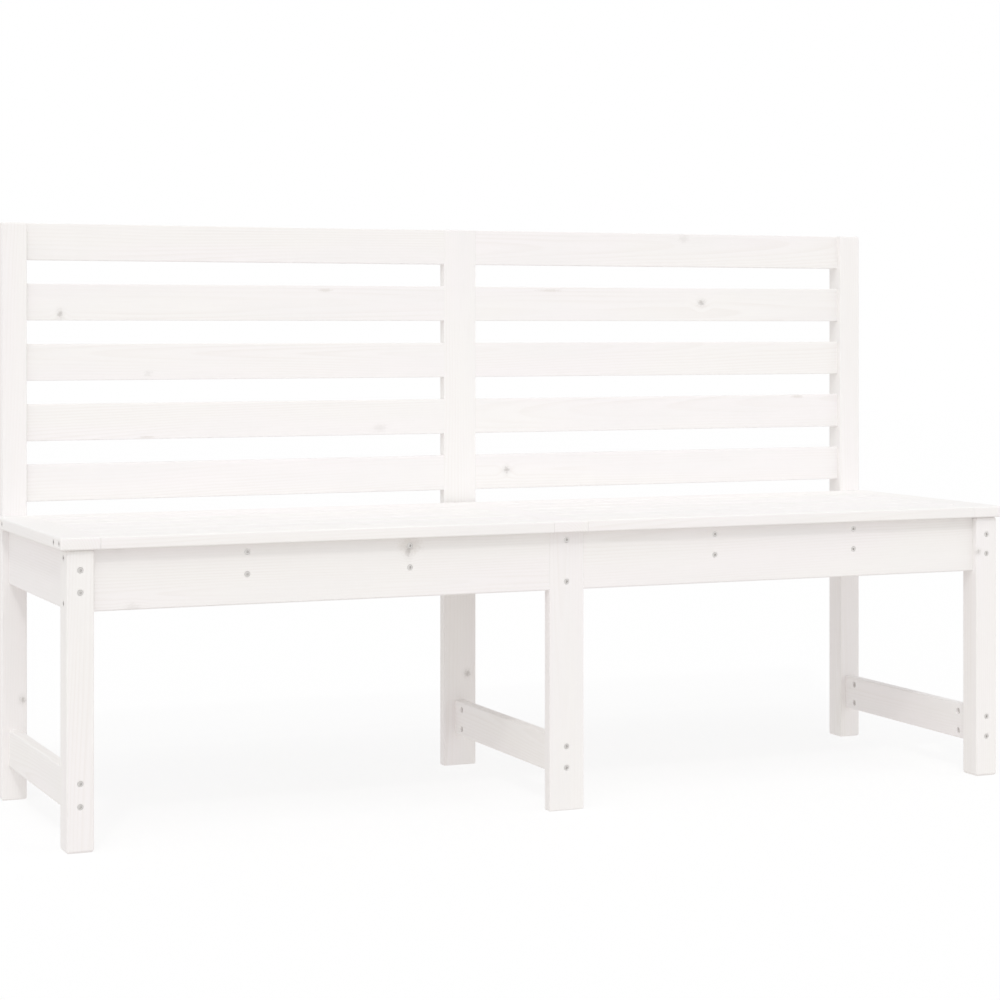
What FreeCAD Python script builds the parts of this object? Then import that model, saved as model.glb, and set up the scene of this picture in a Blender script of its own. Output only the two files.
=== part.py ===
import FreeCAD, Part
import math
import os
import Sketcher

Vector = FreeCAD.Vector
Rotation = FreeCAD.Rotation

doc = FreeCAD.newDocument("bench")

# Driving sizes in millimetres. X runs along the bench, the front faces -Y, Z is up, and the origin
# is on the floor under the middle of the bench.
SIZES = [
    ("seat_length", 1595, "overall length, measured over the seat"),
    ("bench_depth", 480, "overall depth, seat front to back of the rear posts"),
    ("bench_height", 915, "top of the rear posts above the floor"),
    ("seat_height", 450, "top of the seat above the floor"),
    ("end_overhang", 10, "seat past the corner legs at each end"),
    ("front_overhang", 7, "seat past the front legs"),
    ("post_side", 40, "square corner legs and posts"),
    ("board_thickness", 18, "every board"),
    ("leg_width", 58, "centre leg and centre post"),
    ("rail_height", 90, "aprons, rear rails, end rails and centre rail"),
    ("bearer_height", 58, "seat bearers"),
    ("bearer_spacing", 256, "between the two bearers of a bay"),
    ("stretcher_height", 58, "low stretchers"),
    ("stretcher_centre", 82.5, "middle of the stretchers above the floor"),
    ("cross_width", 58, "crosswise boards of the seat"),
    ("plank_count", 7, "seat planks in a bay"),
    ("plank_gap", 5.5, "between seat planks"),
    ("slat_count", 5, "back slats in a bay"),
    ("slat_gap", 37.5, "between back slats"),
    ("slat_drop", 0.5, "top slat below the post tops"),
    ("slat_lift", 21, "lowest slat above the seat"),
    ("edge_radius", 2.5, "eased long edges of every board and post"),
    ("bolt_diameter", 5, "shank of the bolts"),
    ("bolt_clearance", 0.5, "bolt hole over the shank"),
    ("bolt_tail", 2.5, "bolt past its nut"),
    ("bolt_play", 2.5, "bore past the end of the bolt"),
    ("head_diameter", 8.5, "bolt head"),
    ("head_height", 5, "bolt head"),
    ("head_clearance", 0.5, "counterbore over the head"),
    ("head_sink", 0.5, "head below the face"),
    ("socket_flats", 4, "hexagon socket across its flats"),
    ("socket_depth", 2.5, "hexagon socket"),
    ("nut_diameter", 10, "barrel nut"),
    ("nut_length", 12, "barrel nut"),
    ("nut_clearance", 0.2, "cross hole over the nut"),
    ("nut_setback", 30, "nut from the end of its board"),
    ("thread_clearance", 0.2, "nut's bore over the shank"),
    ("bolt_inset", 12.5, "bolts from the long edges of the boards they hold"),
    ("end_bolt_inset", 29, "the same in the end rails, between the bolts from the side"),
    ("dowel_diameter", 8, "dowels"),
    ("dowel_length", 36, "dowels"),
    ("dowel_clearance", 0.2, "dowel hole over the dowel"),
    ("dowel_play", 1, "dowel hole past each end of the dowel"),
    ("dowel_inset", 13, "dowels from the long edges of slats and seat planks"),
    ("rail_dowel_inset", 20, "dowels from the long edges of aprons and rear rails"),
    ("screw_diameter", 4, "seat screws"),
    ("screw_clearance", 0.3, "screw hole over the shank"),
    ("screw_head_diameter", 8, "seat screws"),
    ("screw_head_height", 3, "seat screws"),
    ("screw_grip", 27, "wood of the bearer between head and plank"),
    ("screw_bite", 13, "screw in the plank"),
    ("screw_play", 0.5, "hole past the end of the screw"),
]

# Positions and hole sizes that follow from the driving sizes.
PLACES = [
    ("leg_x", "Size.seat_length / 2 - Size.end_overhang - Size.post_side / 2", "corner legs' middle"),
    ("side_x", "leg_x + Size.post_side / 2", "corner legs' outer sides"),
    ("bay_end", "leg_x - Size.post_side / 2", "corner legs' inner sides"),
    ("bay_length", "bay_end - Size.leg_width / 2", "aprons, rear rails and slats"),
    ("bay_mid", "bay_end - bay_length / 2", "middle of a bay"),
    ("front_y", "Size.front_overhang - Size.bench_depth / 2", "corner legs' front faces"),
    ("rear_y", "Size.bench_depth / 2", "rear posts' back faces"),
    ("recess", "(Size.post_side - Size.board_thickness) / 2", "boards behind the faces of the posts"),
    ("apron_front", "front_y + recess", "front faces of aprons and centre leg"),
    ("apron_back", "apron_front + Size.board_thickness", "back faces of aprons and centre leg"),
    ("rail_back", "rear_y - recess", "back faces of rear rails, slats and centre post"),
    ("rail_front", "rail_back - Size.board_thickness", "front faces of the same"),
    ("leg_back", "front_y + Size.post_side", "corner legs' back faces"),
    ("post_front", "rear_y - Size.post_side", "rear posts' front faces"),
    ("under_seat", "Size.seat_height - Size.board_thickness", "underside of the seat"),
    ("rail_base", "under_seat - Size.rail_height", "underside of the rails"),
    ("bearer_base", "under_seat - Size.bearer_height", "underside of the bearers"),
    ("stretcher_base", "Size.stretcher_centre - Size.stretcher_height / 2", "underside of stretchers"),
    ("seat_front", "-Size.bench_depth / 2", "front edge of the seat"),
    ("seat_depth", "post_front - seat_front", "front edge of the seat to the rear posts"),
    ("plank_end", "Size.seat_length / 2 - Size.cross_width", "seat planks' outer ends"),
    ("plank_length", "plank_end - Size.cross_width / 2", "seat planks"),
    ("plank_pitch", "(seat_depth + Size.plank_gap) / Size.plank_count", "from plank to plank"),
    ("plank_width", "plank_pitch - Size.plank_gap", "seat planks"),
    ("seat_centre", "Size.seat_height - Size.board_thickness / 2", "middle of the seat's thickness"),
    ("slat_base", "Size.seat_height + Size.slat_lift", "underside of the lowest slat"),
    ("slat_span", "Size.bench_height - Size.slat_drop - slat_base", "height of the slatted back"),
    ("slat_pitch", "(slat_span + Size.slat_gap) / Size.slat_count", "from slat to slat"),
    ("slat_width", "slat_pitch - Size.slat_gap", "back slats"),
    ("bolt_hole", "Size.bolt_diameter + Size.bolt_clearance", "clearance hole"),
    ("bolt_reach", "Size.nut_setback + Size.nut_diameter / 2 + Size.bolt_tail", "bolt in its board's end"),
    ("bore_depth", "bolt_reach + Size.bolt_play", "bore in a board's end"),
    ("head_hole", "Size.head_diameter + Size.head_clearance", "counterbore"),
    ("head_depth", "Size.head_height + Size.head_sink", "counterbore"),
    ("nut_hole", "Size.nut_diameter + Size.nut_clearance", "cross hole"),
    ("nut_depth", "(Size.board_thickness + Size.nut_length + Size.nut_clearance) / 2", "cross hole"),
    ("dowel_hole", "Size.dowel_diameter + Size.dowel_clearance", "dowel hole"),
    ("dowel_depth", "Size.dowel_length / 2 + Size.dowel_play", "dowel hole"),
    ("screw_hole", "Size.screw_diameter + Size.screw_clearance", "screw hole"),
    ("screw_head_hole", "Size.screw_head_diameter + Size.head_clearance", "counterbore"),
    ("screw_head_depth", "Size.bearer_height - Size.screw_grip", "counterbore"),
    ("screw_depth", "Size.screw_bite + Size.screw_play", "screw hole in the plank"),
]


def make_sheet(name, rows):
    """A sheet with one named value a row and, beside it, what the value is."""
    sheet = doc.addObject("Spreadsheet::Sheet", name)
    for row, (alias, content, meaning) in enumerate(rows, 1):
        sheet.set(f"A{row}", alias)
        sheet.set(f"B{row}", content)
        sheet.set(f"C{row}", meaning)
        sheet.setAlias(f"B{row}", alias)
    doc.recompute()
    return sheet


sheet = make_sheet("Size", [(alias, str(number), meaning) for alias, number, meaning in SIZES])
place = make_sheet("Place", [(alias, "=" + formula, meaning) for alias, formula, meaning in PLACES])


def value(expression):
    """What an expression of sheet values comes to."""
    return float(sheet.evalExpression(expression))


def constrain(sketch, name, expression, kind, *points):
    """A dimension of a sketch, driven by an expression."""
    index = sketch.addConstraint(Sketcher.Constraint(kind, *points, value(expression)))
    sketch.renameConstraint(index, name)
    sketch.setExpression("Constraints." + name, expression)


def set_position(thing, property_name, position):
    """The three coordinates of a placement, each driven by an expression."""
    for axis, expression in zip("xyz", position):
        thing.setExpression(f"{property_name}.Base.{axis}", expression)


# How a board lies: its length, width and thickness start along X, Y and Z.
FLAT_LENGTHWISE = Rotation()
FLAT_CROSSWISE = Rotation(Vector(0, 0, 1), 90)
EDGE_LENGTHWISE = Rotation(Vector(1, 0, 0), 90)
EDGE_CROSSWISE = Rotation(Vector(1, 1, 1), 120)
UPRIGHT = Rotation(Vector(1, 1, 1), 240)

nodes = {}


class Board:
    """A planed board with eased long edges, made in its own frame with one corner at the origin."""

    # For each face: the plane that holes are marked out on, and whether they run along its normal
    faces = {
        "start": ("YZ_Plane", True),
        "end": ("YZ_Plane", False),
        "low_edge": ("XZ_Plane", False),
        "high_edge": ("XZ_Plane", True),
        "back": ("XY_Plane", True),
        "face": ("XY_Plane", False),
    }

    def __init__(self, label, length, width, thickness, turn, corner):
        self.body = doc.addObject("PartDesign::Body", label)
        self.planes = {feature.Role: feature for feature in self.body.Origin.OriginFeatures}
        self.offsets = {"end": length, "high_edge": f"-({width})", "face": thickness}
        section = self.sketch("section", "YZ_Plane")
        self.outline(section, width, thickness)
        stock = self.body.newObject("PartDesign::Pad", label + "_stock")
        stock.Profile = section
        stock.setExpression("Length", length)
        self.body.Placement = FreeCAD.Placement(Vector(), turn)
        set_position(self.body, "Placement", corner)
        doc.recompute()
        nodes[label] = self.body

    def sketch(self, name, plane):
        sketch = self.body.newObject("Sketcher::SketchObject", f"{self.body.Name}_{name}")
        sketch.AttachmentSupport = [(self.planes[plane], "")]
        sketch.MapMode = "FlatFace"
        return sketch

    def outline(self, sketch, width, thickness):
        """A rectangle with rounded corners, its sides on the sketch's axes."""
        wide = value(width)
        thick = value(thickness)
        radius = value("Size.edge_radius")
        sides = [
            (Vector(radius, 0), Vector(wide - radius, 0)),
            (Vector(wide, radius), Vector(wide, thick - radius)),
            (Vector(wide - radius, thick), Vector(radius, thick)),
            (Vector(0, thick - radius), Vector(0, radius)),
        ]
        centres = [
            Vector(wide - radius, radius),
            Vector(wide - radius, thick - radius),
            Vector(radius, thick - radius),
            Vector(radius, radius),
        ]
        quarter = math.pi / 2
        for start, end in sides:
            sketch.addGeometry(Part.LineSegment(start, end))
        for corner, centre in enumerate(centres):
            circle = Part.Circle(centre, Vector(0, 0, 1), radius)
            sketch.addGeometry(Part.ArcOfCircle(circle, (corner - 1) * quarter, corner * quarter))
        for side in range(4):
            arc = side + 4
            following = (side + 1) % 4
            sketch.addConstraint(Sketcher.Constraint("Tangent", side, 2, arc, 1))
            sketch.addConstraint(Sketcher.Constraint("Tangent", arc, 2, following, 1))
            level = "Vertical" if side % 2 else "Horizontal"
            sketch.addConstraint(Sketcher.Constraint(level, side))
            if side:
                sketch.addConstraint(Sketcher.Constraint("Equal", 4, arc))
        sketch.addConstraint(Sketcher.Constraint("PointOnObject", 0, 1, -1))
        sketch.addConstraint(Sketcher.Constraint("PointOnObject", 3, 1, -2))
        constrain(sketch, "radius", "Size.edge_radius", "Radius", 4)
        constrain(sketch, "width", width, "DistanceX", 3, 1, 1, 1)
        constrain(sketch, "thickness", thickness, "DistanceY", 0, 1, 2, 1)

    def drill(self, name, face, spots, diameter, depth=None, head=None):
        """Holes in one face: through the board, or to a depth, with a counterbore for heads."""
        plane, along_normal = self.faces[face]
        sketch = self.sketch(name + "_marks", plane)
        if face in self.offsets:
            sketch.setExpression("AttachmentOffset.Base.z", self.offsets[face])
        for spot, (along, across) in enumerate(spots):
            centre = Vector(value(along), value(across))
            mark = sketch.addGeometry(Part.Circle(centre, Vector(0, 0, 1), value(diameter) / 2))
            constrain(sketch, f"along_{spot}", along, "DistanceX", -1, 1, mark, 3)
            constrain(sketch, f"across_{spot}", across, "DistanceY", -1, 1, mark, 3)
            constrain(sketch, f"diameter_{spot}", diameter, "Diameter", mark)
        doc.recompute()
        hole = self.body.newObject("PartDesign::Hole", f"{self.body.Name}_{name}")
        hole.Profile = sketch
        hole.Reversed = along_normal
        hole.Threaded = False
        hole.DrillPoint = "Flat"
        hole.setExpression("Diameter", diameter)
        hole.DepthType = "Dimension" if depth else "ThroughAll"
        if depth:
            hole.setExpression("Depth", depth)
        if head:
            hole.HoleCutType = "Counterbore"
            hole.HoleCutCustomValues = True
            hole.setExpression("HoleCutDiameter", head[0])
            hole.setExpression("HoleCutDepth", head[1])
        doc.recompute()


def pair(base, width, inset):
    """Two positions across a board, each as far in from an edge."""
    return [f"{base} + {inset}", f"{base} + {width} - {inset}"]


def times(along, across):
    """Every position along a board with every position across it."""
    return [(first, second) for first in along for second in across]


BOLT_HOLE = {"diameter": "Place.bolt_hole", "head": ("Place.head_hole", "Place.head_depth")}
BOLT_BORE = {"diameter": "Place.bolt_hole", "depth": "Place.bore_depth"}
NUT_HOLE = {"diameter": "Place.nut_hole", "depth": "Place.nut_depth"}
DOWEL_HOLE = {"diameter": "Place.dowel_hole", "depth": "Place.dowel_depth"}
SCREW_HOLE = {"diameter": "Place.screw_hole", "depth": "Place.screw_depth"}
SCREW_WAY = {
    "diameter": "Place.screw_hole",
    "head": ("Place.screw_head_hole", "Place.screw_head_depth"),
}

SIDES = [("left", -1), ("right", 1)]
HALF_POST = "Size.post_side / 2"
HALF_BOARD = "Size.board_thickness / 2"
HALF_LEG = "Size.leg_width / 2"

slat_numbers = range(sheet.slat_count)
plank_numbers = range(sheet.plank_count)
end_planks = [plank_numbers[0], plank_numbers[-1]]

# Heights above the floor
STRETCHER = ("Place.stretcher_base", "Size.stretcher_height")
RAIL = ("Place.rail_base", "Size.rail_height")
BEARER = ("Place.bearer_base", "Size.bearer_height")
stretcher_bolts = pair(*STRETCHER, "Size.bolt_inset")
end_rail_bolts = pair(*RAIL, "Size.end_bolt_inset")
rail_bolts = pair(*RAIL, "Size.bolt_inset")
rail_dowels = pair(*RAIL, "Size.rail_dowel_inset")
bearer_bolts = pair(*BEARER, "Size.bolt_inset")
slat_bases = [f"Place.slat_base + {n} * Place.slat_pitch" for n in slat_numbers]
slat_dowels = [height for base in slat_bases for height in pair(base, "Place.slat_width", "Size.dowel_inset")]

# Distances back from the front edge of the seat
plank_fronts = [f"{n} * Place.plank_pitch" for n in plank_numbers]
screws_along = [f"{front} + Place.plank_width / 2" for front in plank_fronts[1:-1]]
seat_bolts_along = []
seat_dowels_along = []
for number in end_planks:
    seat_bolts_along += pair(plank_fronts[number], "Place.plank_width", "Size.bolt_inset")
    seat_dowels_along += pair(plank_fronts[number], "Place.plank_width", "Size.dowel_inset")

# Distances from the middle of the bench to the bearers of a bay
bay_bearers = [f"Place.bay_mid {way} Size.bearer_spacing / 2" for way in "-+"]


# Corner legs and posts: square timber. The end rails and stretchers are bolted through their front
# or back faces, the aprons and rear rails through their outer sides; slats are dowelled into them.
for side, sign in SIDES:
    outer, inner = ("low_edge", "high_edge") if sign < 0 else ("high_edge", "low_edge")
    corner_x = f"{sign} * Place.leg_x - {HALF_POST}"
    leg = Board(f"front_leg_{side}", "Place.under_seat", "Size.post_side", "Size.post_side", UPRIGHT,
                (corner_x, "Place.front_y", "0"))
    post = Board(f"rear_post_{side}", "Size.bench_height", "Size.post_side", "Size.post_side", UPRIGHT,
                 (corner_x, "Place.post_front", "0"))
    for upright, bolted_face in ((leg, "back"), (post, "face")):
        upright.drill("end_bolts", bolted_face,
                      times(stretcher_bolts + end_rail_bolts, [HALF_POST]), **BOLT_HOLE)
        upright.drill("side_bolts", outer, times(rail_bolts, [HALF_POST]), **BOLT_HOLE)
    post.drill("slat_dowels", inner, times(slat_dowels, [HALF_POST]), **DOWEL_HOLE)

# Centre leg and post: boards on the flat. The centre rail and stretcher are bolted through them,
# and aprons, rear rails and slats are dowelled into their edges.
centre_corner = f"-{HALF_LEG}"
leg = Board("front_leg_centre", "Place.under_seat", "Size.leg_width", "Size.board_thickness", UPRIGHT,
            (centre_corner, "Place.apron_front", "0"))
post = Board("rear_post_centre", "Size.bench_height", "Size.leg_width", "Size.board_thickness", UPRIGHT,
             (centre_corner, "Place.rail_front", "0"))
for upright, bolted_face, dowels in ((leg, "back", rail_dowels), (post, "face", rail_dowels + slat_dowels)):
    upright.drill("bolts", bolted_face, times(stretcher_bolts + rail_bolts, [HALF_LEG]), **BOLT_HOLE)
    for edge in ("low_edge", "high_edge"):
        upright.drill(f"{edge}_dowels", edge, times(dowels, [HALF_BOARD]), **DOWEL_HOLE)

# Aprons and rear rails: boards on edge between the corners and the centre. Barrel nuts go in from
# their inner faces, and the bearers' bolts pass through them.
for side, sign in SIDES:
    outer, inner = ("start", "end") if sign < 0 else ("end", "start")
    corner_x = "-Place.bay_end" if sign < 0 else HALF_LEG
    nut_x = "Size.nut_setback" if sign < 0 else "Place.bay_length - Size.nut_setback"
    bolts_across = pair("0", "Size.rail_height", "Size.bolt_inset")
    dowels_across = pair("0", "Size.rail_height", "Size.rail_dowel_inset")
    bearers_along = [f"Place.bay_length / 2 {way} Size.bearer_spacing / 2" for way in "-+"]
    for name, back_y, bolted_face, nut_face in (("front_apron", "Place.apron_back", "face", "back"),
                                                ("rear_rail", "Place.rail_back", "back", "face")):
        rail = Board(f"{name}_{side}", "Place.bay_length", "Size.rail_height", "Size.board_thickness",
                     EDGE_LENGTHWISE, (corner_x, back_y, "Place.rail_base"))
        rail.drill("bearer_bolts", bolted_face,
                   times(bearers_along, [f"{height} - Place.rail_base" for height in bearer_bolts]),
                   **BOLT_HOLE)
        rail.drill("bores", outer, times(bolts_across, [HALF_BOARD]), **BOLT_BORE)
        rail.drill("nuts", nut_face, times([nut_x], bolts_across), **NUT_HOLE)
        rail.drill("dowels", inner, times(dowels_across, [HALF_BOARD]), **DOWEL_HOLE)


def cross_board(label, middle_x, front, back, base, height, inset, nut_face):
    """A board on edge from front to back, bolted at both ends into barrel nuts."""
    length = f"({back} - {front})"
    board = Board(label, length, height, "Size.board_thickness", EDGE_CROSSWISE,
                  (f"{middle_x} - {HALF_BOARD}", front, base))
    heights = pair("0", height, inset)
    for end in ("start", "end"):
        board.drill(f"{end}_bores", end, times(heights, [HALF_BOARD]), **BOLT_BORE)
    setbacks = ["Size.nut_setback", f"{length} - Size.nut_setback"]
    board.drill("nuts", nut_face, times(setbacks, heights), **NUT_HOLE)
    return board


# End rails and end stretchers join each front corner leg to the rear post behind it, and the centre
# rail and stretcher do the same in the middle. The nuts' holes face the middle of the bench.
CORNER = ("Place.leg_back", "Place.post_front")
MIDDLE = ("Place.apron_back", "Place.rail_front")
for side, sign in SIDES:
    nut_face = "face" if sign < 0 else "back"
    middle_x = f"{sign} * Place.leg_x"
    cross_board(f"end_rail_{side}", middle_x, *CORNER, *RAIL, "Size.end_bolt_inset", nut_face)
    cross_board(f"stretcher_{side}", middle_x, *CORNER, *STRETCHER, "Size.bolt_inset", nut_face)
cross_board("centre_rail", "0", *MIDDLE, *RAIL, "Size.bolt_inset", "back")
cross_board("stretcher_centre", "0", *MIDDLE, *STRETCHER, "Size.bolt_inset", "back")

# Seat bearers: two in each bay, from apron to rear rail. The planks between the front and rear ones
# are screwed down from below, through counterbores in the bearers' undersides.
bearer_xs = [f"{sign} * ({x})" for side, sign in SIDES for x in bay_bearers[::sign]]
bearer_screws = [f"{along} + Place.seat_front - Place.apron_back" for along in screws_along]
for number, bearer_x in enumerate(bearer_xs, 1):
    bearer = cross_board(f"seat_bearer_{number}", bearer_x, *MIDDLE, *BEARER, "Size.bolt_inset", "back")
    bearer.drill("screws", "low_edge", times(bearer_screws, [HALF_BOARD]), **SCREW_WAY)

# Crosswise seat boards: one at each end, with bolts through its width into the front and rear planks,
# and one over the centre rail, with dowels in both edges.
for side, sign in SIDES:
    outer = "high_edge" if sign < 0 else "low_edge"
    right_x = "-Place.plank_end" if sign < 0 else "Size.seat_length / 2"
    end_board = Board(f"seat_end_board_{side}", "Place.seat_depth", "Size.cross_width",
                      "Size.board_thickness", FLAT_CROSSWISE,
                      (right_x, "Place.seat_front", "Place.under_seat"))
    end_board.drill("bolts", outer, times(seat_bolts_along, [HALF_BOARD]), **BOLT_HOLE)
centre_board = Board("seat_centre_board", "Place.seat_depth", "Size.cross_width", "Size.board_thickness",
                     FLAT_CROSSWISE, ("Size.cross_width / 2", "Place.seat_front", "Place.under_seat"))
for edge in ("low_edge", "high_edge"):
    centre_board.drill(f"{edge}_dowels", edge, times(seat_dowels_along, [HALF_BOARD]), **DOWEL_HOLE)

# Seat planks, numbered from the front. The first and last are bolted at their outer ends and dowelled
# to the centre board; the rest are screwed to the bearers.
for side, sign in SIDES:
    outer, inner = ("start", "end") if sign < 0 else ("end", "start")
    corner_x = "-Place.plank_end" if sign < 0 else "Size.cross_width / 2"
    nut_x = "Size.nut_setback" if sign < 0 else "Place.plank_length - Size.nut_setback"
    screw_xs = [f"{sign} * ({x}) - ({corner_x})" for x in bay_bearers]
    bolts_across = pair("0", "Place.plank_width", "Size.bolt_inset")
    dowels_across = pair("0", "Place.plank_width", "Size.dowel_inset")
    for number in plank_numbers:
        plank = Board(f"seat_plank_{side}_{number + 1}", "Place.plank_length", "Place.plank_width",
                      "Size.board_thickness", FLAT_LENGTHWISE,
                      (corner_x, f"Place.seat_front + {plank_fronts[number]}", "Place.under_seat"))
        if number in end_planks:
            plank.drill("bores", outer, times(bolts_across, [HALF_BOARD]), **BOLT_BORE)
            plank.drill("nuts", "back", times([nut_x], bolts_across), **NUT_HOLE)
            plank.drill("dowels", inner, times(dowels_across, [HALF_BOARD]), **DOWEL_HOLE)
        else:
            plank.drill("screws", "back", times(screw_xs, ["Place.plank_width / 2"]), **SCREW_HOLE)

# Back slats, numbered from the lowest, dowelled at both ends.
for side, sign in SIDES:
    corner_x = "-Place.bay_end" if sign < 0 else HALF_LEG
    dowels_across = pair("0", "Place.slat_width", "Size.dowel_inset")
    for number in slat_numbers:
        slat = Board(f"back_slat_{side}_{number + 1}", "Place.bay_length", "Place.slat_width",
                     "Size.board_thickness", EDGE_LENGTHWISE,
                     (corner_x, "Place.rail_back", slat_bases[number]))
        for end in ("start", "end"):
            slat.drill(f"{end}_dowels", end, times(dowels_across, [HALF_BOARD]), **DOWEL_HOLE)


def rod(name, diameter, length, start="0", turn=Rotation()):
    """A round bar along Z, or turned, from a start along its axis."""
    bar = doc.addObject("Part::Cylinder", name)
    bar.setExpression("Radius", f"({diameter}) / 2")
    bar.setExpression("Height", length)
    bar.Placement = FreeCAD.Placement(Vector(), turn)
    direction = turn.multVec(Vector(0, 0, 1))
    set_position(bar, "Placement", [f"{round(part)} * ({start})" for part in direction])
    return bar


def join(name, pieces):
    """Pieces fused into one."""
    joined = doc.addObject("Part::MultiFuse", name)
    joined.Shapes = pieces
    return joined


def cut(name, base, tool):
    """A piece with another taken out of it."""
    difference = doc.addObject("Part::Cut", name)
    difference.Base = base
    difference.Tool = tool
    return difference


def bolt(name, through):
    """A socket-head bolt along Z, with the underside of its head at the origin."""
    length = f"{through} - Place.head_depth + Place.bolt_reach"
    head = rod(name + "_head", "Size.head_diameter", "Size.head_height", "-Size.head_height")
    shank = rod(name + "_shank", "Size.bolt_diameter", length)
    socket = doc.addObject("Part::Prism", name + "_socket")
    socket.Polygon = 6
    socket.setExpression("Circumradius", "Size.socket_flats / sqrt(3)")
    socket.setExpression("Height", "Size.socket_depth")
    set_position(socket, "Placement", ("0", "0", "-Size.head_height"))
    return cut(name, join(name + "_blank", [head, shank]), socket)


def group(label, fastener, spots):
    """Copies of one fastener, each with its position and the way it is turned."""
    copies = []
    for number, (position, turn) in enumerate(spots, 1):
        copy = doc.addObject("App::Link", f"{label}_{number}")
        copy.LinkedObject = fastener
        copy.LinkTransform = True
        copy.LinkPlacement = FreeCAD.Placement(Vector(), turn)
        set_position(copy, "LinkPlacement", position)
        copies.append(copy)
    nodes[label] = doc.addObject("Part::Compound", label)
    nodes[label].Links = copies


def moved(position, direction, distance):
    """A position shifted along one of the axes."""
    return [f"{start} + {part} * ({distance})" for start, part in zip(position, direction)]


# Bolts and their barrel nuts. Each entry is a point on the face that the head sits in, the way the
# bolt runs, and the way the nut lies in the board that the bolt holds.
RIGHTWARD = (1, 0, 0)
BACKWARD = (0, 1, 0)
UPWARD = (0, 0, 1)
FORWARD = (0, -1, 0)
LEFTWARD = (-1, 0, 0)
corner_entries = []
board_entries = []
seat_entries = []
for side, sign in SIDES:
    inward = RIGHTWARD if sign < 0 else LEFTWARD
    for face_y, direction, middle_y in (("Place.front_y", BACKWARD, f"Place.front_y + {HALF_POST}"),
                                        ("Place.rear_y", FORWARD, f"Place.rear_y - {HALF_POST}")):
        for height in stretcher_bolts + end_rail_bolts:
            corner_entries.append(((f"{sign} * Place.leg_x", face_y, height), direction, RIGHTWARD))
        for height in rail_bolts:
            corner_entries.append(((f"{sign} * Place.side_x", middle_y, height), inward, BACKWARD))
    for along in seat_bolts_along:
        point = (f"{sign} * Size.seat_length / 2", f"Place.seat_front + {along}", "Place.seat_centre")
        seat_entries.append((point, inward, UPWARD))
for face_y, direction in (("Place.apron_front", BACKWARD), ("Place.rail_back", FORWARD)):
    for height in stretcher_bolts + rail_bolts:
        board_entries.append((("0", face_y, height), direction, RIGHTWARD))
    for bearer_x in bearer_xs:
        for height in bearer_bolts:
            board_entries.append(((bearer_x, face_y, height), direction, RIGHTWARD))

nut_spots = []
for label, through, entries in (("leg_bolts", "Size.post_side", corner_entries),
                                ("board_bolts", "Size.board_thickness", board_entries),
                                ("seat_bolts", "Size.cross_width", seat_entries)):
    bolt_spots = []
    for point, direction, nut_axis in entries:
        way = Vector(*direction)
        bolt_turn = Rotation(Vector(0, 0, 1), way)
        nut_turn = Rotation(way, Vector(), Vector(*nut_axis), "ZXY")
        bolt_spots.append((moved(point, direction, "Place.head_depth"), bolt_turn))
        nut_spots.append((moved(point, direction, f"{through} + Size.nut_setback"), nut_turn))
    group(label, bolt(label + "_pattern", through), bolt_spots)

barrel = rod("nut_barrel", "Size.nut_diameter", "Size.nut_length", "-Size.nut_length / 2")
thread = rod("nut_thread", "Size.bolt_diameter + Size.thread_clearance", "2 * Size.nut_diameter",
             "-Size.nut_diameter", Rotation(Vector(0, 1, 0), 90))
group("barrel_nuts", cut("nut_pattern", barrel, thread), nut_spots)

# Dowels across every joint of a board's end with the side of another, half in each.
dowel_spots = []
lengthwise = Rotation(Vector(0, 1, 0), 90)
for side, sign in SIDES:
    slat_y = f"Place.rail_back - {HALF_BOARD}"
    apron_y = f"Place.apron_back - {HALF_BOARD}"
    for height in slat_dowels:
        for joint_x in (HALF_LEG, "Place.bay_end"):
            dowel_spots.append(((f"{sign} * {joint_x}", slat_y, height), lengthwise))
    for height in rail_dowels:
        for rail_y in (apron_y, slat_y):
            dowel_spots.append(((f"{sign} * {HALF_LEG}", rail_y, height), lengthwise))
    for along in seat_dowels_along:
        point = (f"{sign} * Size.cross_width / 2", f"Place.seat_front + {along}", "Place.seat_centre")
        dowel_spots.append((point, lengthwise))
dowel = rod("dowel_pattern", "Size.dowel_diameter", "Size.dowel_length", "-Size.dowel_length / 2")
group("dowels", dowel, dowel_spots)

# Seat screws, upright, with the undersides of their heads in the bearers' counterbores.
screw_head = rod("screw_head", "Size.screw_head_diameter", "Size.screw_head_height",
                 "-Size.screw_head_height")
screw_shank = rod("screw_shank", "Size.screw_diameter", "Size.screw_grip + Size.screw_bite")
screw_spots = [((x, f"Place.seat_front + {along}", "Place.under_seat - Size.screw_grip"), Rotation())
               for x in bearer_xs for along in screws_along]
group("seat_screws", join("screw_pattern", [screw_head, screw_shank]), screw_spots)

doc.recompute()

for thing in doc.Objects:
    if "Invalid" in thing.State or "Error" in thing.State:
        raise RuntimeError(f"{thing.Label} failed: {thing.getStatusString()}")
os.makedirs("parts", exist_ok=True)
for label, thing in nodes.items():
    thing.Label = label
    if thing.Shape.isNull() or not thing.Shape.isValid():
        raise RuntimeError(f"{label} has no valid shape")
    thing.Shape.exportStep(f"parts/{label}.step")
    print(label, len(thing.Shape.Solids), "solids")
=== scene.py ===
import math

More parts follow.
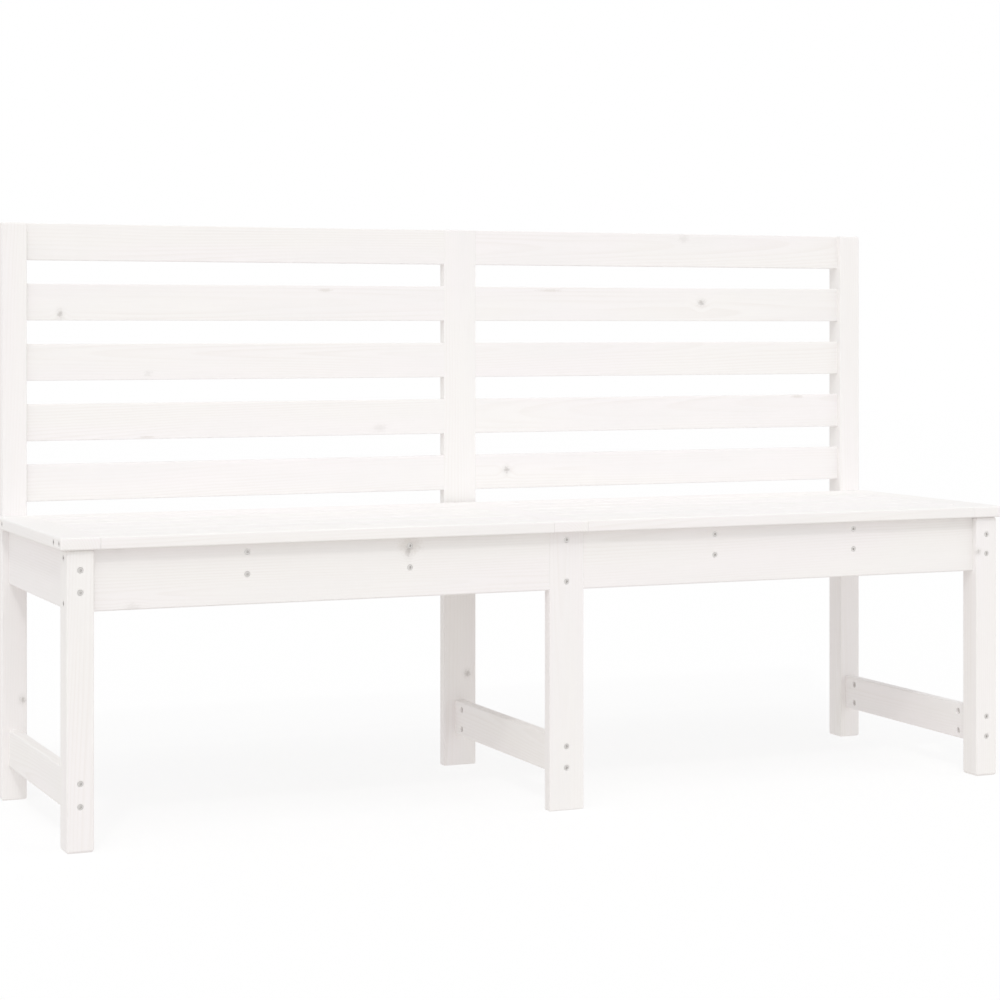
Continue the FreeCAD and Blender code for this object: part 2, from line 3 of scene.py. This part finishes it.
import bpy
import numpy as np
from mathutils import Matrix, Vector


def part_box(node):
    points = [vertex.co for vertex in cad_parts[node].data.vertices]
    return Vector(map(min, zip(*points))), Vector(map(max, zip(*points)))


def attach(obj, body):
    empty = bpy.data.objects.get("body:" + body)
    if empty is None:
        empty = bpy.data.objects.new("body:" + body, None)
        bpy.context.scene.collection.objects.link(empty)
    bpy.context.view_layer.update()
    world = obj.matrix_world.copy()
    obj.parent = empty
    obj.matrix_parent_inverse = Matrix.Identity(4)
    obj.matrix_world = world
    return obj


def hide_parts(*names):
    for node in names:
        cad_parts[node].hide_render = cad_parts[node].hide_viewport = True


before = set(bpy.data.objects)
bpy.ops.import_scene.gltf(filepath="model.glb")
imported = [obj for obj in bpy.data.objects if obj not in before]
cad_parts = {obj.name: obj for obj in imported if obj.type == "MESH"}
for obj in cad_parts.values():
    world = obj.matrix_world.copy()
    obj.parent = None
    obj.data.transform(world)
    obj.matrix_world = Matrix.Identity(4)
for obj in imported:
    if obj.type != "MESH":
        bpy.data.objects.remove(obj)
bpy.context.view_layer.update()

# Corner legs and posts
# Square planed pine, sawn off flat at the foot and painted white all round. The bolts of the rails
# and stretchers pass through them, with their heads let into counterbores.


class Shade:
    """One socket of a material's nodes. Arithmetic on shades adds Math nodes."""

    def __init__(self, tree, socket=None):
        self.tree = tree
        self.socket = socket

    def feed(self, node, inputs):
        """A value or a shade for each named input of a node."""
        for name, value in inputs.items():
            if isinstance(value, Shade):
                self.tree.links.new(value.socket, node.inputs[name])
            else:
                node.inputs[name].default_value = value

    def add(self, kind, settings=None, inputs=None, output=0):
        """Any other node: its settings first, then what its inputs take."""
        node = self.tree.nodes.new(kind)
        for name, setting in (settings or {}).items():
            setattr(node, name, setting)
        self.feed(node, inputs or {})
        return Shade(self.tree, node.outputs[output])

    def math(self, operation, first, second=0.0):
        """A Math node on one or two values."""
        return self.add("ShaderNodeMath", {"operation": operation}, {0: first, 1: second})

    def __add__(self, other):
        return self.math("ADD", self, other)

    __radd__ = __add__

    def __mul__(self, other):
        return self.math("MULTIPLY", self, other)

    __rmul__ = __mul__

    def __sub__(self, other):
        return self.math("SUBTRACT", self, other)

    def __rsub__(self, other):
        return self.math("SUBTRACT", other, self)

    def scaled(self, factors):
        """A vector with each part multiplied by its own factor."""
        return self.add("ShaderNodeVectorMath", {"operation": "MULTIPLY"}, {0: self, 1: factors})

    def length(self):
        """The length of a vector."""
        return self.add("ShaderNodeVectorMath", {"operation": "LENGTH"}, {0: self}, "Value")

    def noise(self, detail, roughness=0.5):
        """Cloudy noise from 0 to 1, one cloud to each unit of this vector."""
        return self.add("ShaderNodeTexNoise", None, {
            "Vector": self, "Scale": 1.0, "Detail": detail, "Roughness": roughness})

    def fade(self, start, end):
        """1 up to a start, easing to 0 at an end."""
        return self.add("ShaderNodeMapRange", {"interpolation_type": "SMOOTHSTEP"}, {
            "Value": self, "From Min": start, "From Max": end, "To Min": 1.0, "To Max": 0.0})

    def between(self, first, second):
        """The first colour where this value is 0, the second where it is 1."""
        return self.add("ShaderNodeMix", {"data_type": "RGBA"}, {0: self, 6: first, 7: second}, 2)

    def tint(self, amount, colour):
        """This colour, mixed with a fixed one by an amount."""
        return amount.between(self, colour)


def new_material(name):
    """A material with its Principled shader, and a shade to add its other nodes from."""
    material = bpy.data.materials.new(name)
    material.use_nodes = True
    return material, Shade(material.node_tree)


def white_painted_pine():
    """Thin white paint on pine: rings, fibre and knots show through it faintly.

    Each board carries the attribute wood, its place in a tree in metres, with X along the trunk.
    A year ring is the fraction of the distance from the pith, counted in rings, bent by noise and
    pushed aside round a knot. It darkens slowly to its late wood and then stops short. A knot or a
    streak fades out with the distance from its middle, measured in its own radii.
    """
    material, start = new_material("white_painted_pine")

    def attribute(name):
        return start.add("ShaderNodeAttribute", {"attribute_name": name}, None, "Vector")

    wood = attribute("wood")
    dead = attribute("dead_knot").length()
    live = attribute("live_knot").length()
    streak = attribute("streak").length()

    ring_pitch = 0.0042
    bend = wood.scaled((1.6, 9.0, 9.0)).noise(2.0) * 4.0
    push = dead.fade(0.6, 4.5) * 0.9 + live.fade(0.4, 3.5) * 0.7
    from_pith = wood.scaled((0.0, 1.0, 1.0)).length()
    ring_part = start.math("FRACT", from_pith * (1 / ring_pitch) + bend + push)
    late_wood = ring_part.fade(0.9, 1.0) - ring_part.fade(0.3, 0.9)
    thin_paint = 1 - wood.scaled((3.0, 24.0, 24.0)).noise(2.0).fade(0.35, 0.7)
    fibre = wood.scaled((16.0, 700.0, 700.0)).noise(3.0, 0.6)
    cloud = wood.scaled((3.0, 16.0, 16.0)).noise(2.0)
    blush = wood.scaled((2.0, 9.0, 9.0)).noise(1.0)
    ragged = wood.scaled((270.0, 380.0, 380.0)).noise(2.0) * 2.0 - 1.0

    cream = (0.926, 0.912, 0.898, 1.0)
    pink = (0.928, 0.904, 0.905, 1.0)
    greyer = (0.900, 0.888, 0.882, 1.0)
    ring_line = (0.835, 0.80, 0.77, 1.0)
    fibre_line = (0.82, 0.79, 0.765, 1.0)
    resin_streak = (0.66, 0.615, 0.57, 1.0)
    sound_knot = (0.72, 0.70, 0.685, 1.0)
    knot_rim = (0.79, 0.77, 0.755, 1.0)
    knot_heart = (0.50, 0.475, 0.455, 1.0)
    paint = blush.fade(0.38, 0.62).between(cream, pink)
    paint = paint.tint(cloud.fade(0.3, 0.6) * 0.6, greyer)
    paint = paint.tint(late_wood * (thin_paint * 0.24 + 0.05), ring_line)
    paint = paint.tint(fibre.fade(0.3, 0.55) * 0.12, fibre_line)
    paint = paint.tint((streak + ragged * 0.5).fade(0.2, 1.1) * 0.4, resin_streak)
    paint = paint.tint((live + ragged).fade(0.2, 1.6) * 0.36, sound_knot)
    paint = paint.tint((dead + ragged).fade(0.7, 2.4) * 0.4, knot_rim)
    paint = paint.tint((dead + ragged).fade(0.1, 1.25) * 0.64, knot_heart)

    height = late_wood * 0.5 + fibre - dead.fade(0.3, 1.2) * 0.6
    bump = start.add("ShaderNodeBump", None, {
        "Height": height, "Strength": 0.16, "Distance": 0.0004})
    start.feed(start.tree.nodes["Principled BSDF"], {
        "Base Color": paint, "Roughness": fibre * 0.12 + 0.54, "Normal": bump,
        "Specular IOR Level": 0.3})
    return material


pine = white_painted_pine()
trees = np.random.default_rng(1595)

# Holes as (radius, depth): counterbores of the bolts, cross holes of the barrel nuts
BOLT_HOLE = (0.0045, 0.0055)
NUT_HOLE = (0.0051, 0.0151)


def rounded_section(width, depth, radii, marks):
    """The outline of a board across its length, anticlockwise.

    Four straight sides, each cut at the given marks, are joined by quarter circles, each of its own
    radius. Also returns where each side starts among the points.
    """
    arc_steps = 5
    starts = np.array([[radii[3], 0], [width, radii[0]],
                       [width - radii[1], depth], [0, depth - radii[2]]])
    ways = np.array([[1, 0], [0, 1], [-1, 0], [0, -1]])
    normals = np.array([[0, -1], [1, 0], [0, 1], [-1, 0]])
    lengths = np.array([width, depth, width, depth]) - radii - np.roll(radii, 1)
    angle = np.linspace(0, math.pi / 2, arc_steps + 1)[1:-1, None]
    points = []
    firsts = []
    for side in range(4):
        firsts.append(sum(map(len, points)))
        cuts = np.unique(np.concatenate([[0, lengths[side]], marks[side]]))
        points.append(starts[side] + cuts[:, None] * ways[side])
        swept = np.cos(angle) * normals[side] + np.sin(angle) * ways[side]
        centre = points[-1][-1] - radii[side] * normals[side]
        points.append(centre + radii[side] * swept)
    return np.concatenate(points), firsts


def hole_surface(centre, across, along, inward, corners, radius, depth, first):
    """A round hole in a square cell of a board's side.

    Rings of points go down the hole: round its slightly eased rim, at its edge and at its floor.
    Triangles fan from the cell's corners to the rim, and quads join ring to ring.
    """
    quarter = 8
    count = 4 * quarter
    rim = 0.0003
    turn = math.radians(225) + np.arange(count) * (2 * math.pi / count)
    circle = np.cos(turn)[:, None] * across + np.sin(turn)[:, None] * along
    rings = [centre + circle * (radius + rim), centre + circle * radius + inward * rim,
             centre + circle * radius + inward * depth]
    index = first + np.arange(3 * count).reshape(3, count)
    onward = np.roll(index, -1, 1)
    fans = np.roll(index[0], quarter // 2).reshape(4, quarter)
    after = np.roll(onward[0], quarter // 2).reshape(4, quarter)
    corner = np.repeat(np.array(corners)[:, None], quarter, 1)
    faces = np.stack([corner, after, fans], -1).reshape(-1, 3).tolist()
    faces += np.stack([corners, np.roll(corners, -1), after[:, -1]], -1).tolist()
    for upper in range(2):
        lower = upper + 1
        faces += np.stack([index[upper], onward[upper], onward[lower], index[lower]], -1).tolist()
    faces.append(index[2].tolist())
    return np.concatenate(rings), faces


def place_in_tree(vertices, low, high, a, b, c):
    """Where a board's points lie in a tree of its own, in metres, with X along the trunk.

    The board's middle is moved off the pith by a random distance, mostly through its thickness, and
    its length leans a little from the trunk. The axes are its length and the two across it.
    """
    size = high - low
    trunk, away, turned, lean_b, lean_c = trees.uniform([0, 0.02, -1.2, -0.03, -0.03],
                                                        [9, 0.06, 1.2, 0.03, 0.03])
    through, wide = (b, c) if size[b] < size[c] else (c, b)
    wood = vertices - (low + high) / 2
    wood[:, through] += away * math.cos(turned)
    wood[:, wide] += away * math.sin(turned)
    along = wood[:, a]
    return np.stack([along + trunk, wood[:, b] + lean_b * along, wood[:, c] + lean_c * along], 1)


def planed_board(node, grain, holes=(), edges=0.0025, end_ease=0.0004, knots=None):
    """A board in place of its CAD node: a rounded section carried along the grain.

    At both ends the section's sides draw in along a quarter circle, up to a flat face. Each hole is
    a face such as -Y, its places along and across the board, and its radius and depth. The radius
    of the edges, and the easing of the ends, is one number, or four that go round the section. Each
    knot or streak is its middle and its three radii.
    """
    low, high = (np.array(corner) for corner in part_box(node))
    size = high - low
    a = "XYZ".index(grain)
    b = (a + 1) % 3
    c = (a + 2) % 3
    radii = np.broadcast_to(edges, 4)
    eases = np.broadcast_to(end_ease, 4)
    longest = eases.max()

    # Every hole takes a square cell of its side, a little wider than itself
    cell = 1.3
    marks = [[], [], [], []]
    stations = [longest, size[a] - longest]
    placed = []
    for face, along, across, (radius, depth) in holes:
        axis = "XYZ".index(face[1])
        side = {(c, "-"): 0, (b, "+"): 1, (c, "+"): 2, (b, "-"): 3}[axis, face[0]]
        other = b if axis == c else c
        half = cell * radius
        reach = across - low[other] if side < 2 else high[other] - across
        reach -= radii[side - 1]
        marks[side] += [reach - half, reach + half]
        station = along - low[a] - half
        stations += [station, along - low[a] + half]
        placed.append((side, axis, other, along, across, reach - half, station, radius, depth))
    marks = [np.round(side_marks, 7) for side_marks in marks]
    section, firsts = rounded_section(size[b], size[c], radii, marks)

    end_steps = 3
    turn = np.linspace(0, math.pi / 2, end_steps + 1)[:-1]
    setback = longest * (1 - np.cos(turn))
    inner_at = np.unique(np.round(stations, 7))
    ring_at = np.concatenate([setback, inner_at, size[a] - setback[::-1]])
    drawn = 1 - np.sin(turn)
    drawn = np.concatenate([drawn, np.zeros(len(inner_at)), drawn[::-1]])[:, None, None]
    share = section / size[[b, c]]
    inset = drawn * (eases[[3, 0]] * (1 - share) - eases[[1, 2]] * share)
    points = np.zeros((len(ring_at), len(section), 3))
    points[..., a] = low[a] + ring_at[:, None]
    points[..., [b, c]] = low[[b, c]] + section + inset

    index = np.arange(points[..., 0].size).reshape(points.shape[:2])
    beside = np.roll(index, -1, 1)
    quads = np.stack([index[:-1], beside[:-1], beside[1:], index[1:]], -1)
    keep = np.ones(quads.shape[:2], bool)
    vertices = [points.reshape(-1, 3)]
    hole_faces = []
    unit = np.eye(3)
    for side, axis, other, along, across, side_at, station, radius, depth in placed:
        ring = len(setback) + int(np.argmin(np.abs(inner_at - station)))
        cuts = np.unique(np.concatenate([[0], marks[side]]))
        place = firsts[side] + int(np.argmin(np.abs(cuts - side_at)))
        keep[ring, place] = False
        outward = 1 if side in (1, 2) else -1
        centre = np.zeros(3)
        centre[[a, other]] = along, across
        centre[axis] = high[axis] if outward > 0 else low[axis]
        across_way = unit[other] * (1 if side < 2 else -1)
        rings, faces = hole_surface(centre, across_way, unit[a], -outward * unit[axis],
                                    quads[ring, place], radius, depth, sum(map(len, vertices)))
        vertices.append(rings)
        hole_faces += faces
    vertices = np.concatenate(vertices)
    ends = [index[0, ::-1].tolist(), index[-1].tolist()]

    mesh = bpy.data.meshes.new(node + "_painted")
    mesh.from_pydata(vertices.tolist(), [], quads[keep].tolist() + ends + hole_faces)
    mesh.polygons.foreach_set("use_smooth", np.ones(len(mesh.polygons), bool))
    mesh.materials.append(pine)
    fields = {"wood": place_in_tree(vertices, low, high, a, b, c)}
    far_off = np.full((len(vertices), 3), 9.0)
    for kind in ("dead_knot", "live_knot", "streak"):
        fields[kind] = far_off
        if kind in (knots or {}):
            knot_middle, knot_radii = knots[kind]
            fields[kind] = (vertices - knot_middle) / knot_radii
    for name, field in fields.items():
        attribute = mesh.attributes.new(name, "FLOAT_VECTOR", "POINT")
        attribute.data.foreach_set("vector", field.ravel())
    board = bpy.data.objects.new(node + "_painted", mesh)
    bpy.context.scene.collection.objects.link(board)
    flat = board.modifiers.new("flat_faces", "WEIGHTED_NORMAL")
    flat.weight = 100
    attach(board, "root")
    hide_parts(node)


def middle(node):
    """The middle of a node's box."""
    low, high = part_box(node)
    return (low + high) / 2


def set_in(node, axis, inset):
    """Two places in a node's box, set in from its low and its high side along an axis."""
    low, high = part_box(node)
    at = "XYZ".index(axis)
    return [low[at] + inset, high[at] - inset]


# Bolts stand this far in from the edges of the board that they hold, further in the end rails
BOLT_INSET, END_RAIL_INSET = 0.0125, 0.029
FRONT_FOOT_EASE, REAR_FOOT_EASE = 0.0045, 0.003
corner_knots = {
    "rear_post_left": {"dead_knot": ((-0.7545, 0.2, 0.158), (0.005, 0.03, 0.006))},
    "front_leg_right": {"dead_knot": ((0.7515, -0.233, 0.374), (0.0045, 0.004, 0.005))},
}
for side, outer in (("left", "-X"), ("right", "+X")):
    end_bolts = set_in("stretcher_" + side, "Z", BOLT_INSET)
    end_bolts += set_in("end_rail_" + side, "Z", END_RAIL_INSET)
    for node, rail, bolted, foot_ease in (
            ("front_leg_" + side, "front_apron_" + side, "-Y", FRONT_FOOT_EASE),
            ("rear_post_" + side, "rear_rail_" + side, "+Y", REAR_FOOT_EASE)):
        leg = middle(node)
        holes = [(bolted, z, leg.x, BOLT_HOLE) for z in end_bolts]
        holes += [(outer, z, leg.y, BOLT_HOLE) for z in set_in(rail, "Z", BOLT_INSET)]
        planed_board(node, "Z", holes, end_ease=foot_ease, knots=corner_knots.get(node))

# Centre leg and centre post
# Boards of the same pine on the flat, in line with the aprons and the back slats, which are
# dowelled into their edges. The centre rail and stretcher are bolted through them.
CENTRE_EDGE, CENTRE_FOOT_EASE = 0.0005, 0.002
centre_bolts = set_in("stretcher_centre", "Z", BOLT_INSET) + set_in("centre_rail", "Z", BOLT_INSET)
post_knot = {"dead_knot": ((0.014, 0.211, 0.1557), (0.0055, 0.03, 0.006))}
for node, bolted, knots in (("front_leg_centre", "-Y", None),
                            ("rear_post_centre", "+Y", post_knot)):
    holes = [(bolted, z, middle(node).x, BOLT_HOLE) for z in centre_bolts]
    planed_board(node, "Z", holes, CENTRE_EDGE, CENTRE_FOOT_EASE, knots)

# Aprons and rear rails
# Wide pine boards on edge under the seat, one to a bay. The bolts of the seat bearers show in their
# outer faces, and their own barrel nuts are pushed in from the inside.
NUT_SETBACK = 0.03
bearer_bolts = set_in("seat_bearer_1", "Z", BOLT_INSET)
apron_knots = {
    "front_apron_left": {"live_knot": ((-0.6895, -0.222, 0.345), (0.01, 0.03, 0.006)),
                         "dead_knot": ((-0.2625, -0.222, 0.4125), (0.0052, 0.03, 0.0095)),
                         "streak": ((-0.2605, -0.222, 0.419), (0.024, 0.03, 0.016))},
}
for side, outer_end, bearers in (("left", 0, (2, 1)), ("right", 1, (3, 4))):
    bearer_x = [middle(f"seat_bearer_{number}").x for number in bearers]
    for node, bolted, inside in (("front_apron_" + side, "-Y", "+Y"),
                                 ("rear_rail_" + side, "+Y", "-Y")):
        nut_x = set_in(node, "X", NUT_SETBACK)[outer_end]
        holes = [(bolted, x, z, BOLT_HOLE) for x in bearer_x for z in bearer_bolts]
        holes += [(inside, nut_x, z, NUT_HOLE) for z in set_in(node, "Z", BOLT_INSET)]
        planed_board(node, "X", holes, knots=apron_knots.get(node))

# End rails, centre rail and low stretchers
# Pine boards on edge from front to back, bolted at both ends. The barrel nuts that the bolts screw
# into lie in cross holes near the ends.
for node, inset, inside in (
        ("end_rail_left", END_RAIL_INSET, "+X"), ("stretcher_left", BOLT_INSET, "+X"),
        ("end_rail_right", END_RAIL_INSET, "-X"), ("stretcher_right", BOLT_INSET, "-X"),
        ("centre_rail", BOLT_INSET, "-X"), ("stretcher_centre", BOLT_INSET, "-X")):
    holes = [(inside, y, z, NUT_HOLE) for y in set_in(node, "Y", NUT_SETBACK)
             for z in set_in(node, "Z", inset)]
    planed_board(node, "Y", holes)

# Seat bearers
# Four narrow pine boards on edge that carry the planks between apron and rear rail. Screws go up
# through deep counterbores in their undersides.
SCREW_HOLE = (0.00425, 0.031)
PLANK_ROWS = 7
screw_y = [middle(f"seat_plank_left_{row}").y for row in range(2, PLANK_ROWS)]
for number in range(1, 5):
    node = f"seat_bearer_{number}"
    holes = [("-X", y, z, NUT_HOLE) for y in set_in(node, "Y", NUT_SETBACK) for z in bearer_bolts]
    holes += [("-Z", y, middle(node).x, SCREW_HOLE) for y in screw_y]
    planed_board(node, "Y", holes)

# Crosswise boards of the seat
# One pine board across each end and one across the middle, flush with the planks that butt against
# them. The end boards are bolted to the first and last planks through their width.
seat_bolts = [y for row in (1, PLANK_ROWS)
              for y in set_in(f"seat_plank_left_{row}", "Y", BOLT_INSET)]
OUTER, BUTTED = 0.0025, 0.0005
for node, outer, edges, end_ease in (
        ("seat_end_board_left", "-X",
         (OUTER, BUTTED, BUTTED, OUTER), (OUTER, OUTER, BUTTED, OUTER)),
        ("seat_end_board_right", "+X",
         (BUTTED, OUTER, OUTER, BUTTED), (BUTTED, OUTER, OUTER, OUTER)),
        ("seat_centre_board", None, BUTTED, (BUTTED, OUTER, BUTTED, OUTER))):
    holes = [(outer, y, middle(node).z, BOLT_HOLE) for y in seat_bolts] if outer else []
    planed_board(node, "Y", holes, edges, end_ease)

# Seat planks
# Narrow pine boards side by side along each bay with a small gap between them, all edges eased. The
# first and last take the end boards' bolts, so their undersides have nut holes.
for side, outer_end in (("left", 0), ("right", 1)):
    for row in range(1, PLANK_ROWS + 1):
        node = f"seat_plank_{side}_{row}"
        nut_x = set_in(node, "X", NUT_SETBACK)[outer_end]
        nut_y = set_in(node, "Y", BOLT_INSET) if row in (1, PLANK_ROWS) else []
        planed_board(node, "X", [("-Z", nut_x, y, NUT_HOLE) for y in nut_y])

# Back slats
# Five narrow pine boards to a bay between the posts, dowelled at both ends. Here the knots and
# streaks of the wood show most through the paint.
SLAT_EDGE = 0.0015
slat_knots = {
    "back_slat_left_4": {"dead_knot": ((-0.6915, 0.211, 0.7696), (0.0048, 0.03, 0.0062)),
                         "streak": ((-0.244, 0.211, 0.8105), (0.016, 0.03, 0.004))},
    "back_slat_right_4": {"dead_knot": ((0.4669, 0.211, 0.7922), (0.0062, 0.03, 0.0055)),
                          "streak": ((0.1695, 0.211, 0.8125), (0.03, 0.03, 0.003))},
    "back_slat_right_5": {"live_knot": ((0.4311, 0.211, 0.9065), (0.0085, 0.03, 0.0065))},
    "back_slat_right_1": {"dead_knot": ((0.0873, 0.211, 0.5026), (0.0055, 0.03, 0.0056))},
    "back_slat_left_3": {"live_knot": ((-0.5475, 0.211, 0.6736), (0.006, 0.03, 0.005))},
    "back_slat_left_2": {"live_knot": ((-0.1458, 0.211, 0.5786), (0.01, 0.03, 0.006)),
                         "streak": ((-0.5492, 0.211, 0.5706), (0.016, 0.03, 0.0022))},
    "back_slat_right_2": {"streak": ((0.6629, 0.211, 0.6227), (0.016, 0.03, 0.004))},
}
for side in ("left", "right"):
    for number in range(1, 6):
        node = f"back_slat_{side}_{number}"
        planed_board(node, "X", edges=SLAT_EDGE, knots=slat_knots.get(node))

# Bolts, barrel nuts and screws
# Turned steel, bright with zinc plate. The socket heads of the bolts sit just below the paint, the
# barrel nuts lie in their cross holes, and the screws are sunk into the bearers.


def zinc_plate():
    """Bright zinc with a faint crystal mottle in colour and gloss."""
    material, start = new_material("zinc_plate")
    place = start.add("ShaderNodeTexCoord", None, None, "Object")
    mottle = place.scaled((900.0, 900.0, 900.0)).noise(2.0)
    dull, bright = (0.60, 0.583, 0.565, 1.0), (0.73, 0.712, 0.695, 1.0)
    start.feed(start.tree.nodes["Principled BSDF"], {
        "Base Color": mottle.between(dull, bright), "Roughness": mottle * 0.2 + 0.3,
        "Metallic": 1.0})
    return material


zinc = zinc_plate()
for node in ("leg_bolts", "board_bolts", "seat_bolts", "barrel_nuts", "seat_screws"):
    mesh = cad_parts[node].data
    mesh.materials.clear()
    mesh.materials.append(zinc)

# Dowels
# Short round pegs turned from beech and left bare. Each is glued half into one board and half into
# its neighbour, so none of them shows on the finished bench.


def bare_beech():
    """Pale pinkish wood with short dark flecks along X."""
    material, start = new_material("bare_beech")
    place = start.add("ShaderNodeTexCoord", None, None, "Object")
    fleck = place.scaled((180.0, 1500.0, 1500.0)).noise(2.0)
    dark, pale = (0.52, 0.36, 0.22, 1.0), (0.70, 0.54, 0.38, 1.0)
    start.feed(start.tree.nodes["Principled BSDF"], {
        "Base Color": fleck.between(dark, pale), "Roughness": fleck * 0.15 + 0.5})
    return material


dowel_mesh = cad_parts["dowels"].data
dowel_mesh.materials.clear()
dowel_mesh.materials.append(bare_beech())

# Floor and light
# A plain white floor that keeps a faint shadow and sends up an even bounce, in an even white
# surround. A small lamp and a soft, steeper one stand at the front left, a soft one at each side.
FLOOR_HALF = 15.0
floor_corners = [(x * FLOOR_HALF, y * FLOOR_HALF, 0.0)
                 for x, y in ((-1, -1), (1, -1), (1, 1), (-1, 1))]
floor_mesh = bpy.data.meshes.new("floor")
floor_mesh.from_pydata(floor_corners, [], [(0, 1, 2, 3)])
floor = bpy.data.objects.new("floor", floor_mesh)
bpy.context.scene.collection.objects.link(floor)


def seen_directly(start):
    """1 where the ray comes from the camera, or from it by a reflection or through glass."""
    def ray(name):
        return start.add("ShaderNodeLightPath", None, None, name)

    return start.math("MAXIMUM", ray("Is Transmission Ray"),
                      start.math("MAXIMUM", ray("Is Camera Ray"), ray("Is Glossy Ray")))


def white_floor():
    """Shown almost white with a faint shadow; to the bench, an evenly lit pale floor."""
    material, start = new_material("white_floor")
    white = (1.0, 1.0, 1.0, 1.0)
    matt = start.add("ShaderNodeBsdfDiffuse", None, {"Color": (0.93, 0.90, 0.875, 1.0)})
    even = start.add("ShaderNodeEmission", None, {
        "Color": (0.96, 0.925, 0.90, 1.0), "Strength": 0.83})
    bounce = start.add("ShaderNodeMixShader", None, {0: 0.9, 1: matt, 2: even})
    glow = start.add("ShaderNodeEmission", None, {"Color": white, "Strength": 1.0})
    shadowed = start.add("ShaderNodeBsdfDiffuse", None, {"Color": white})
    shown = start.add("ShaderNodeMixShader", None, {0: 0.2, 1: glow, 2: shadowed})
    surface = start.add("ShaderNodeMixShader", None, {
        0: seen_directly(start), 1: bounce, 2: shown})
    start.tree.nodes.remove(start.tree.nodes["Principled BSDF"])
    start.feed(start.tree.nodes["Material Output"], {"Surface": surface})
    return material


floor_mesh.materials.append(white_floor())

SURROUND = 0.668
world = bpy.data.worlds.new("white_surround")
bpy.context.scene.world = world
world.use_nodes = True
world_start = Shade(world.node_tree)
world_start.feed(world.node_tree.nodes["Background"], {
    "Color": (1.0, 1.0, 1.0, 1.0),
    "Strength": seen_directly(world_start) * (1.0 - SURROUND) + SURROUND})

# Each lamp's strength, its spread in degrees and the way that its light goes
for name, strength, spread, (x, y, z) in (
        ("key_lamp", 0.37, 4.0, (0.249, 0.54, -0.62)),
        ("upper_lamp", 0.45, 30.0, (0.2, 0.42, -0.9)),
        ("left_lamp", 0.44, 60.0, (0.85, 0.35, -0.4)),
        ("right_lamp", 0.46, 50.0, (-0.75, 0.55, -0.36))):
    lamp_data = bpy.data.lights.new(name, "SUN")
    lamp_data.energy = strength
    lamp_data.angle = math.radians(spread)
    lamp = bpy.data.objects.new(name, lamp_data)
    lamp.rotation_euler = (math.atan2(math.hypot(x, y), -z), 0.0, -math.atan2(x, y))
    bpy.context.scene.collection.objects.link(lamp)

# Camera
# Level, a little below the top of the back, off the bench's front left, with a long lens. The frame
# is shifted down, so that upright edges stay upright.
SENSOR = 36.0
FOCAL_IN_WIDTHS = 2.47035
TURN = math.radians(23.394)
camera_data = bpy.data.cameras.new("camera")
camera_data.sensor_width = SENSOR
camera_data.lens = SENSOR * FOCAL_IN_WIDTHS
camera_data.shift_y = -0.1736
camera_data.clip_end = 100.0
camera = bpy.data.objects.new("camera", camera_data)
camera.location = (-1.61496, -3.69499, 0.75007)
camera.rotation_euler = (math.pi / 2, 0.0, -TURN)
bpy.context.scene.collection.objects.link(camera)
bpy.context.scene.camera = camera
bpy.context.scene.view_settings.view_transform = "Standard"
